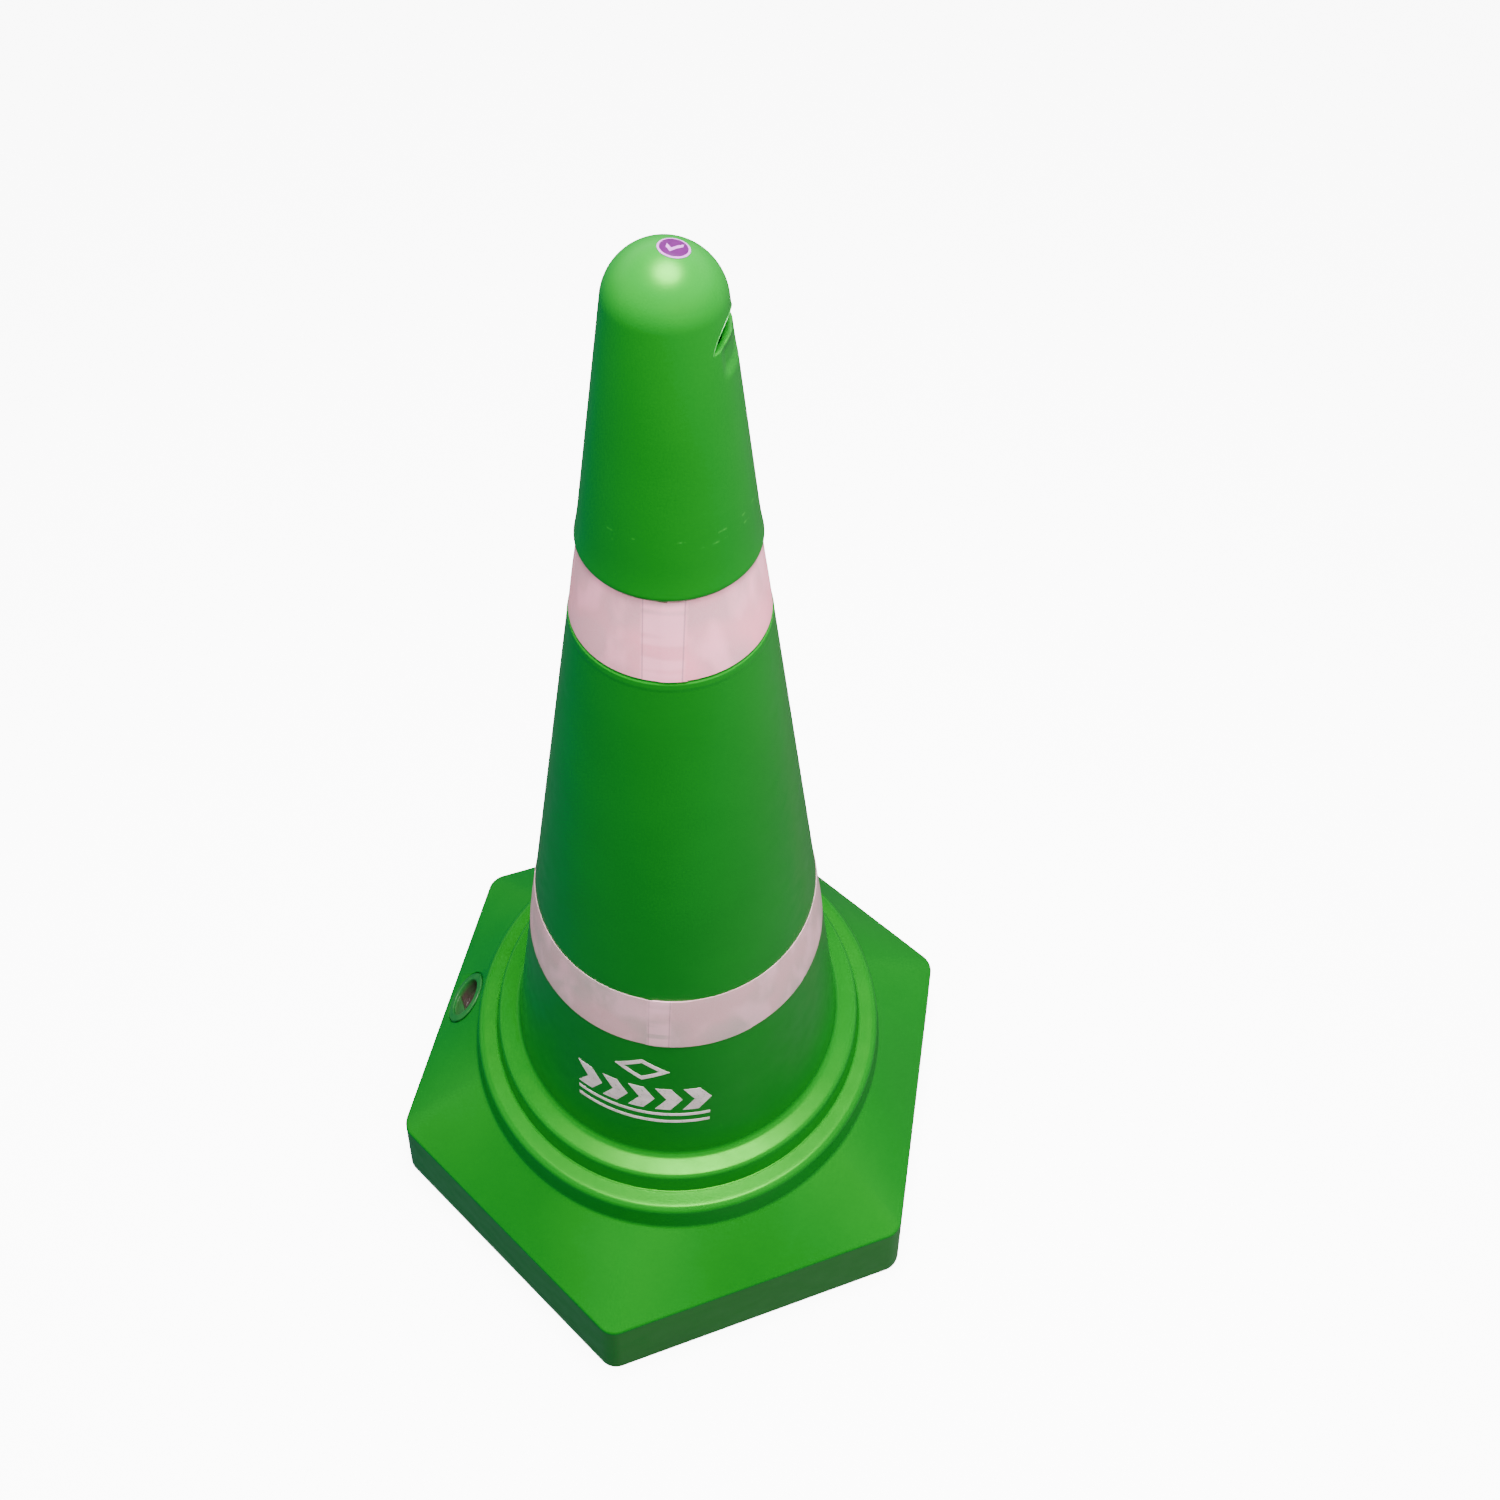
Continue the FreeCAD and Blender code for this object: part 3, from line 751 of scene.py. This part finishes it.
def make_cone_body(material, cut_height):
    """The cone below cut_height: shoulder, skirt and foot flange."""
    shoulder_edge = FOOT_HEIGHT - SHOULDER_DROP
    lip_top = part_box("upper_reflective_band")[0].z - LIP_SETBACK + SEAT_DEPTH
    lip_foot = lip_top - LIP_HEIGHT
    profile = rounded([
        ((SKIRT_FOOT_RADIUS - CONE_WALL, 0), 0.8),
        ((FLANGE_RADIUS, 0), 0.6),
        ((FLANGE_RADIUS, FLANGE_THICKNESS), 0.8),
        ((SKIRT_FOOT_RADIUS, FLANGE_THICKNESS), 0.5),
        ((SKIRT_TOP_RADIUS, COLLAR_TOP), 6),
        ((SHOULDER_RADIUS, shoulder_edge), 3),
        ((FOOT_RADIUS, FOOT_HEIGHT), 4.5),
        ((wall_radius(lip_foot - LIP_RAMP), lip_foot - LIP_RAMP), 1.5),
        ((wall_radius(lip_foot) + LIP_BEAD, lip_foot), 1),
        ((wall_radius(lip_top) + LIP_BEAD, lip_top - SEAT_DEPTH), 0.7),
        ((seat_radius(lip_top), lip_top), 0.2),
        ((seat_radius(cut_height), cut_height), 0),
        ((seat_radius(cut_height) - CONE_WALL, cut_height), 0),
        ((FOOT_RADIUS - CONE_WALL, FOOT_HEIGHT - CONE_WALL), 4),
        ((SHOULDER_RADIUS - CONE_WALL, shoulder_edge - CONE_WALL), 1.5),
        ((SKIRT_TOP_RADIUS - CONE_WALL, COLLAR_TOP), 0),
    ])
    rows = turned(profile, full_turn(CONE_COLUMNS))
    return add_piece("cone_body", rows.reshape(-1, 3), grid_faces(len(rows), CONE_COLUMNS), material)


def make_hook_edge(material):
    """A fine raised line of flash along the arch of the hook's opening."""
    radius = arch_radius(HOOK_HALF_WIDTH, HOOK_APEX - HOOK_SILL)
    widest = math.asin((HOOK_HALF_WIDTH + 0.1 * MM) / radius)
    turns = np.linspace(-widest, widest, 72)
    y = (radius + FLASH_GAP) * np.sin(turns)
    z = HOOK_APEX - radius + (radius + FLASH_GAP) * np.cos(turns)
    skin = np.array([head_skin_radius(height) for height in z])
    line = np.stack([np.sqrt(skin ** 2 - y ** 2), y, z], -1)
    along = np.gradient(line, axis=0)
    along /= np.linalg.norm(along, axis=-1, keepdims=True)
    out = line * (1, 1, 0) / np.linalg.norm(line[:, :2], axis=-1, keepdims=True)
    side = np.cross(along, out)
    spokes = full_turn(10)[:, None]
    fade = np.sin(np.linspace(0.12, math.pi - 0.12, len(line))) ** 0.5
    ring = out[:, None] * np.cos(spokes) + side[:, None] * np.sin(spokes)
    rows = line[:, None] + FLASH_RADIUS * fade[:, None, None] * ring
    return add_piece("hook_edge", *capped_tube(rows), material, 50.0)


# ---- base ----

def on_circle(radius, angle):
    """The point at this angle on a circle round the origin."""
    return radius * np.array([math.cos(angle), math.sin(angle)])


def hexagon(circumradius, z):
    """Ring of points round a hexagon with rounded corners, a corner arc and a side at a time."""
    points = []
    arm = circumradius - CORNER_RADIUS / COS_30
    for k in range(6):
        corner = math.radians(30 + 60 * k)
        following = corner + math.radians(60)
        centre, after = on_circle(arm, corner), on_circle(arm, following)
        for t in np.linspace(-0.5, 0.5, ARC_SAMPLES, endpoint=False):
            angle = corner + t * math.radians(60)
            points.append(centre + on_circle(CORNER_RADIUS, angle))
        offset = on_circle(CORNER_RADIUS, (corner + following) / 2)
        for t in np.linspace(0, 1, SIDE_SAMPLES, endpoint=False):
            points.append(centre * (1 - t) + after * t + offset)
    return np.column_stack([points, np.full(len(points), z)])


def circle(radius, z):
    """Ring of points round a circle, in step with the hexagon's points."""
    reach = CORNER_RADIUS * math.tan(math.radians(30))
    half = math.atan(reach * math.sin(math.radians(60))
                     / (EDGE_CIRCUMRADIUS - reach * math.cos(math.radians(60))))
    angles = []
    for k in range(6):
        corner = math.radians(30 + 60 * k)
        angles += list(np.linspace(corner - half, corner + half, ARC_SAMPLES, endpoint=False))
        angles += list(np.linspace(corner + half, corner + math.radians(60) - half,
                                   SIDE_SAMPLES, endpoint=False))
    angles = np.array(angles)
    return np.column_stack([radius * np.cos(angles), radius * np.sin(angles), z + 0 * angles])


def make_base(material):
    """The base ring: outer skin with the bore, hollow, filler hole and neck."""
    lip_outer = LIP_RADIUS + COLLAR_LIP_WIDTH
    rows = rounded([
        (circle(REBATE_RADIUS, 0), 0.5),
        (hexagon(BOTTOM_CIRCUMRADIUS, 0), 1.5),
        (hexagon(EDGE_CIRCUMRADIUS, EDGE_HEIGHT), 3.2),
        (circle(COLLAR_FOOT_RADIUS, COLLAR_FOOT_HEIGHT), 4),
        (circle(COLLAR_TOP_RADIUS, COLLAR_TOP - COLLAR_DROP), 4.5),
        (circle(lip_outer, COLLAR_TOP - COLLAR_LIP), 0.15),
        (circle(lip_outer, COLLAR_TOP - COLLAR_LIP_SLANT), 0.12),
        (circle(LIP_RADIUS, COLLAR_TOP), 0.1),
        (circle(LIP_RADIUS, COLLAR_TOP - BASE_WALL), 0),
        (circle(BORE_RADIUS, COLLAR_TOP - BASE_WALL), 0),
        (circle(BORE_RADIUS, REBATE_HEIGHT), 0),
        (circle(REBATE_RADIUS, REBATE_HEIGHT), 0),
    ])
    skin_faces = grid_faces(len(rows), rows.shape[1])
    wall = BASE_WALL / COS_30
    hollow = np.array([
        hexagon(EDGE_CIRCUMRADIUS - wall, EDGE_HEIGHT - HOLLOW_DROP),
        hexagon(BOTTOM_CIRCUMRADIUS - wall, BASE_WALL),
        circle(REBATE_RADIUS + BASE_WALL, BASE_WALL),
        circle(REBATE_RADIUS + BASE_WALL, REBATE_HEIGHT + BASE_WALL),
        circle(BORE_RADIUS + BASE_WALL, REBATE_HEIGHT + BASE_WALL),
        circle(BORE_RADIUS + BASE_WALL, COLLAR_TOP - BASE_WALL),
        circle(COLLAR_TOP_RADIUS - BASE_WALL, COLLAR_TOP - COLLAR_DROP - BASE_WALL),
        circle(COLLAR_FOOT_RADIUS - BASE_WALL, COLLAR_FOOT_HEIGHT - HOLLOW_DROP),
    ])
    count = len(rows) * rows.shape[1]
    hollow_faces = grid_faces(len(hollow), hollow.shape[1], start=count)
    vertices = np.concatenate([rows.reshape(-1, 3), hollow.reshape(-1, 3)])
    piece = add_piece("base_ring", vertices, np.concatenate([skin_faces, hollow_faces]), material)
    hole = PLUG_BODY_RADIUS + PLUG_CLEARANCE
    seat_foot, seat_outer = PLUG_SEAT_LEVEL - BASE_WALL, PLUG_SEAT_RADIUS + BASE_WALL
    neck = plug_lathe([
        ((0, -NECK_LENGTH), 0),
        ((hole + BASE_WALL, -NECK_LENGTH), 0.8),
        ((hole + BASE_WALL, seat_foot), 1),
        ((seat_outer, seat_foot), 1),
        ((seat_outer, NECK_TOP), 0),
        ((0, NECK_TOP), 0),
    ])
    boolean(piece, neck, "UNION")
    clear = 20 * MM
    cutter = plug_lathe([
        ((0, -2 * NECK_LENGTH), 0),
        ((hole, -2 * NECK_LENGTH), 0),
        ((hole, PLUG_SEAT_LEVEL), 0.5),
        ((PLUG_SEAT_RADIUS, PLUG_SEAT_LEVEL), 0.4),
        ((PLUG_SEAT_RADIUS, 0), 0.9),
        ((PLUG_SEAT_RADIUS + MOUTH_FLARE, 0), 0),
        ((PLUG_SEAT_RADIUS + MOUTH_FLARE, clear), 0),
        ((0, clear), 0),
    ])
    boolean(piece, cutter, "DIFFERENCE")
    finish_mesh(piece, material, 35.0)
    return piece


def plug_lathe(outline):
    """Solid turned about the plug's axis from (r, height over the slope) corners."""
    profile = rounded(outline, steps=6)
    on_axis = profile[:, 0] < 1e-9
    profile[on_axis, 0] = 0.02 * MM
    rows = turned(profile, full_turn(PLUG_COLUMNS))
    points = along_axis(rows.reshape(-1, 3), PLUG_CENTRE, PLUG_AXIS, PLUG_ACROSS)
    return add_piece("plug_tool", points, grid_faces(len(rows), PLUG_COLUMNS), None)


# ---- plug ----

def plug_field(points):
    """Distance to the plug, in its own frame: (towards the grip, across, out along the axis)."""
    u, v, w = points[..., 0], points[..., 1], points[..., 2]
    r = np.hypot(u, v)
    top = PLUG_STAND_OUT
    rim_middle = top - PLUG_RIM_THICKNESS / 2
    rim = round_common(r - PLUG_RIM_RADIUS, np.abs(w - rim_middle) - PLUG_RIM_THICKNESS / 2, 0.6 * MM)
    body = round_common(r - PLUG_BODY_RADIUS, np.maximum(w - top, -PLUG_DEPTH - w), 0.6 * MM)
    cup = np.maximum(r - PLUG_BODY_RADIUS + PLUG_WALL, -PLUG_DEPTH + PLUG_WALL - w)
    solid = round_union(rim, body, 0.3 * MM)
    solid = round_common(solid, -cup, 0.7 * MM)
    grip_middle = top - GRIP_DEPTH - GRIP_THICKNESS / 2
    grip = round_common(GRIP_INSET - u, np.abs(w - grip_middle) - GRIP_THICKNESS / 2, 0.7 * MM)
    grip = np.maximum(grip, r - PLUG_BODY_RADIUS + 0.3 * MM)
    return round_union(solid, grip, 0.6 * MM)


def make_plug(material):
    """The filler plug: a cup with a rim and a finger grip across one side."""
    margin = 1 * MM
    reach = PLUG_RIM_RADIUS + margin
    flat = spaced((-reach, reach, 0.45 * MM))
    deep = spaced((-PLUG_DEPTH - margin, PLUG_STAND_OUT + margin, 0.4 * MM))
    vertices, faces = surface_net(plug_field, (flat, flat, deep))
    vertices = settle(vertices, plug_field)
    points = along_axis(vertices, PLUG_CENTRE, PLUG_AXIS, PLUG_ACROSS)
    return add_piece("plug_cap", points, faces, material, 50.0)


# ---- bands, sticker, sand ----

def make_band(name, node, seat_depth, first_azimuth, last_azimuth, material, notches=()):
    """A strip wound once round the cone, whose last end lies over its first end.

    notches are azimuths in degrees where a small pleat shifts the strip's edge.
    """
    low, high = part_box(node)
    start, end = math.radians(first_azimuth), math.radians(last_azimuth + 360)
    angles = np.linspace(start, end, BAND_COLUMNS)
    ramp = BAND_LAP_RAMP / high.x
    step_up = (1 + np.tanh((angles - start - 2 * math.pi + 1.5 * ramp) * 2 / ramp)) / 2
    lift = BAND_GAP + step_up * (BAND_THICKNESS + BAND_LAP_GAP)
    section = [(0, s) for s in np.linspace(0, 1, 2)] + [(1, s) for s in np.linspace(1, 0, 14)]
    rows = []
    for out, down in section:
        z = high.z + (low.z - high.z) * down
        wave = np.sin(angles * 9 + down * 5) * np.sin(angles * 4.3 + 1 - down * 3)
        wave = BAND_WAVE * wave * out * np.sin(math.pi * down)
        shift = sum(np.where(angles > math.radians(a), s * MM, 0) for a, s in notches)
        z = z + shift * down + 0 * angles
        bevel = BAND_EDGE if out and down in (0.0, 1.0) else 0.0
        r = wall_radius(z) - seat_depth + lift + out * (BAND_THICKNESS - bevel) + wave
        rows.append(np.stack([r * np.cos(angles), r * np.sin(angles), z], -1))
    rows = np.array(rows)
    here = np.arange(rows.shape[0] * BAND_COLUMNS).reshape(-1, BAND_COLUMNS)
    after = np.roll(here, -1, 0)
    faces = np.stack([here[:, :-1], here[:, 1:], after[:, 1:], after[:, :-1]], -1)
    faces = faces.reshape(-1, 4).tolist() + [here[:, 0].tolist(), here[::-1, -1].tolist()]
    return add_piece(name, rows.reshape(-1, 3), faces, material, 30.0)


def on_dome(points, lift):
    """(x, y) points set on the dome, this far over its skin."""
    height = np.sqrt((DOME_RADIUS + lift) ** 2 - (points ** 2).sum(-1))
    return np.column_stack([points, DOME_CENTRE + height])


def dome_patch(name, outline, lift, thickness, material):
    """A thin patch on the dome from rings of (x, y) points, the outermost first."""
    rows = [on_dome(ring, lift + thickness) for ring in outline]
    rows.insert(0, on_dome(outline[0], lift))
    rows = np.array(rows)
    faces = grid_faces(len(rows), rows.shape[1], close_rows=False)
    return add_piece(name, rows.reshape(-1, 3), faces, material)


def make_tick(centre, radius, material):
    """A raised tick on the sticker: a bar with four sides that bends once and follows the dome."""
    line = np.array([(-0.45, 0.0), (-0.12, -0.36), (0.5, 0.36)]) * radius
    steps = np.linspace(0, 1, 10)
    path = np.array([a * (1 - t) + b * t for a, b in zip(line[:-1], line[1:]) for t in steps])
    half_width = np.array([0, 0.17 * radius])
    foot, top = STICKER_THICKNESS - STICKER_MARK, STICKER_THICKNESS
    corners = ((half_width, foot), (half_width, top), (-half_width, top), (-half_width, foot))
    rows = np.stack([on_dome(path + centre + shift, lift) for shift, lift in corners], 1)
    return add_piece("sticker_tick", *capped_tube(rows), material, 30.0)


def make_sticker(film, mark):
    """The round sticker beside the apex, with an outline and a tick."""
    low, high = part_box("inspection_sticker")
    centre = np.array([(low.x + high.x) / 2, (low.y + high.y) / 2])
    radius = (high.y - low.y) / 2
    angles = full_turn(64)
    unit = np.column_stack([np.cos(angles), np.sin(angles)])
    disc = [centre + unit * radius * share for share in (1.0, 0.9, 0.7, 0.5, 0.3, 0.1, 0.002)]
    edge = [centre + unit * radius * share for share in (0.99, 0.86)]
    return [
        dome_patch("sticker_film", disc, 0, STICKER_FILM, film),
        dome_patch("sticker_outline", edge, STICKER_THICKNESS - STICKER_MARK, STICKER_MARK, mark),
        make_tick(centre, radius, mark),
    ]


def make_sand(material):
    """Loose sand in the base's hollow, with an uneven top."""
    low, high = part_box("sand_ballast")
    gap = BASE_WALL + SAND_GAP
    inner, inner_top, ledge = REBATE_RADIUS + gap, BORE_RADIUS + gap, REBATE_HEIGHT + gap
    taper = (BOTTOM_CIRCUMRADIUS - EDGE_CIRCUMRADIUS) / EDGE_HEIGHT
    outer_foot = BOTTOM_CIRCUMRADIUS - gap / COS_30
    outer_top = outer_foot - taper * high.z
    rings = [circle(inner_top, ledge), circle(inner, ledge), circle(inner, low.z),
             hexagon(outer_foot - taper * low.z, low.z)]
    edge, core = hexagon(outer_top, high.z), circle(inner_top, high.z)
    for t in np.linspace(0, 1, 34):
        ring = edge * (1 - t) + core * t
        x, y = ring[:, 0] / MM, ring[:, 1] / MM
        heaps = (np.sin(x / 17 + 2) * np.sin(y / 21) + 0.6 * np.sin(x / 7.3) * np.sin(y / 6.1 + 1)
                 + 0.3 * np.sin(x / 3.1 + y / 4.3))
        ring[:, 2] = high.z - SAND_DIP + SAND_HEAP * heaps
        rings.append(ring)
    rows = np.array(rings)
    return add_piece("sand_fill", rows.reshape(-1, 3), grid_faces(len(rows), rows.shape[1]), material)


# ---- stage ----

def make_stage():
    """Pale, plain floor."""
    shader = Shader("floor_paper")
    tone = shader.ramp(shader.noise(300 * MM, 2.0), 0.3, 0.7)
    base = shader.mix(tone, (0.86, 0.86, 0.86, 1), (0.9, 0.9, 0.9, 1))
    shader.set(Base_Color=base, Roughness=0.9)
    shader.set(Emission_Color=(1, 1, 1, 1), Emission_Strength=FLOOR_GLOW)
    half = 6.0
    vertices = [(-half, -half, 0), (half, -half, 0), (half, half, 0), (-half, half, 0)]
    floor = add_piece("floor", vertices, [(0, 1, 2, 3)], shader.material)
    floor.visible_diffuse = False
    floor.visible_glossy = False


def area_light(name, position, aim, size, power):
    """Round area light at a position, turned towards a point."""
    light = bpy.data.lights.new(name, "AREA")
    light.shape = "DISK"
    light.size = size
    light.energy = power
    lamp = bpy.data.objects.new(name, light)
    lamp.location = position
    lamp.rotation_mode = "QUATERNION"
    lamp.rotation_quaternion = (Vector(aim) - Vector(position)).to_track_quat("-Z", "Y")
    bpy.context.scene.collection.objects.link(lamp)
    return lamp


def make_world():
    """Soft studio surround: brightest low on the walls, with a dim floor below the horizon."""
    world = bpy.data.worlds.new("studio")
    world.use_nodes = True
    tree = world.node_tree
    background = tree.nodes["Background"]
    direction = tree.nodes.new("ShaderNodeTexCoord").outputs["Generated"]
    split = tree.nodes.new("ShaderNodeSeparateXYZ")
    tree.links.new(direction, split.inputs[0])

    def ramp(value, low, high, stops):
        spread = tree.nodes.new("ShaderNodeMapRange")
        spread.inputs["From Min"].default_value = low
        spread.inputs["From Max"].default_value = high
        tree.links.new(value, spread.inputs["Value"])
        colours = tree.nodes.new("ShaderNodeValToRGB")
        tree.links.new(spread.outputs[0], colours.inputs[0])
        elements = colours.color_ramp.elements
        elements[0].position, elements[0].color = stops[0][0], (*stops[0][1], 1)
        elements[1].position, elements[1].color = stops[-1][0], (*stops[-1][1], 1)
        for position, colour in stops[1:-1]:
            elements.new(position).color = (*colour, 1)
        return colours.outputs[0]

    above = ramp(split.outputs["Z"], 0.0, 1.0,
                 [(0.05, (0.12, 0.12, 0.12)), (0.3, (0.45, 0.45, 0.45)), (0.42, (1, 1, 1)),
                  (0.56, (0.8, 0.8, 0.8)), (0.7, (0.15, 0.15, 0.15))])
    below = ramp(split.outputs["X"], -1.0, 1.0,
                 [(0.1, (0.03, 0.1, 0.12)), (0.5, (0.07, 0.09, 0.08)), (0.9, (0.2, 0.22, 0.2))])
    side = tree.nodes.new("ShaderNodeMapRange")
    side.inputs["From Min"].default_value = -0.08
    side.inputs["From Max"].default_value = 0.04
    tree.links.new(split.outputs["Z"], side.inputs["Value"])
    join = tree.nodes.new("ShaderNodeMix")
    join.data_type = "RGBA"
    tree.links.new(side.outputs[0], join.inputs["Factor"])
    tree.links.new(below, join.inputs[6])
    tree.links.new(above, join.inputs[7])
    tree.links.new(join.outputs[2], background.inputs["Color"])
    background.inputs["Strength"].default_value = SURROUND
    bpy.context.scene.world = world


def make_lights():
    """A bright overhead lamp and three weak fills that leave no highlights of their own."""
    make_world()
    size = 0.5
    area_light("overhead", (0.07, -0.02, 1.45), (0.02, -0.02, 0.1), size, 58)
    fills = (("front_fill", (0.45, -0.6, 1.0), 7),
             ("left_fill", (-0.9, -0.3, 0.9), 5),
             ("right_fill", (0.95, -0.2, 0.9), 5))
    for name, position, power in fills:
        fill = area_light(name, position, (0, 0, 0.5), size, power)
        fill.visible_glossy = False


def make_camera():
    """Looks down at the cone from the front, at the angle that shows the base's far corners."""
    distance, elevation, azimuth = 859.44 * MM, math.radians(59.95), math.radians(14.02)
    pan, tilt, roll = math.radians(3.087), math.radians(10.465), math.radians(-1.719)
    aim = Vector((0, 0, 0.3))
    position = aim + distance * Vector((0, -math.cos(elevation), math.sin(elevation)))
    ahead = (aim - position).normalized()
    right = Vector((1, 0, 0))
    up = right.cross(ahead)
    ahead, right = (math.cos(pan) * ahead + math.sin(pan) * right,
                    math.cos(pan) * right - math.sin(pan) * ahead)
    ahead, up = (math.cos(tilt) * ahead + math.sin(tilt) * up,
                 math.cos(tilt) * up - math.sin(tilt) * ahead)
    right, up = (math.cos(roll) * right + math.sin(roll) * up,
                 math.cos(roll) * up - math.sin(roll) * right)
    lens = bpy.data.cameras.new("camera")
    lens.sensor_width = 36.0
    lens.lens = 33.26
    lens.shift_x = 0.0036
    lens.shift_y = -0.0868
    lens.clip_start, lens.clip_end = 0.01, 50
    camera = bpy.data.objects.new("camera", lens)
    turn = Matrix.Rotation(azimuth, 4, "Z")
    view = Matrix((right, up, -ahead)).transposed().to_4x4()
    camera.matrix_world = turn @ Matrix.Translation(position) @ view
    bpy.context.scene.collection.objects.link(camera)
    bpy.context.scene.camera = camera


# ---- assembly ----

def place(piece, body, slot, *nodes):
    """Says which body a piece rides on and hides the CAD nodes that it stands for; the material slot
    is not used.
    """
    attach(piece, body)
    if nodes:
        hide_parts(*nodes)


make_camera()
make_lights()
make_stage()

cone_plastic = moulded_plastic("cone_plastic", RUB_AND_GLINT_HEIGHTS)
base_plastic = moulded_plastic("base_plastic")
clean_sheeting = reflective_sheeting("sheeting_clean", CLEAN_SHEETING, 7 * MM, 9 * MM)
dusty_sheeting = reflective_sheeting("sheeting_dusty", DUSTY_SHEETING, 10 * MM, 6 * MM)
magenta = sticker_film("sticker_magenta", MAGENTA, DEEP_MAGENTA)
lilac = sticker_film("sticker_lilac", LILAC, DEEP_LILAC)

upper_low, upper_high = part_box("upper_reflective_band")
hidden_cut = (upper_low.z + upper_high.z) / 2
place(make_cone_body(cone_plastic, hidden_cut), "cone", "cone_green", "cone_shell")
place(make_head(cone_plastic, hidden_cut), "cone", "cone_green", "cone_shell")
place(make_hook_edge(flash_painted_highlight()), "cone", "cone_green", "cone_shell")
place(make_base(base_plastic), "cone", "base_green", "base_shell")
place(make_plug(plug_plastic()), "plug", "plug_green", "filler_plug")
place(make_band("upper_band", "upper_reflective_band", SEAT_DEPTH, -78, -68, clean_sheeting),
      "cone", "band_sheeting", "upper_reflective_band")
place(make_band("lower_band", "lower_reflective_band", 0, -86, -71, dusty_sheeting,
                ((-48, 0.5), (-20, 0.6))),
      "cone", "band_sheeting", "lower_reflective_band")
for part in make_sticker(magenta, lilac):
    place(part, "cone", "sticker_film", "inspection_sticker")

printed = frame["nodes"]["printed_mark"]
printed.data.materials.clear()
printed.data.materials.append(printed_ink())
place(make_sand(loose_sand()), "cone", "sand", "sand_ballast")
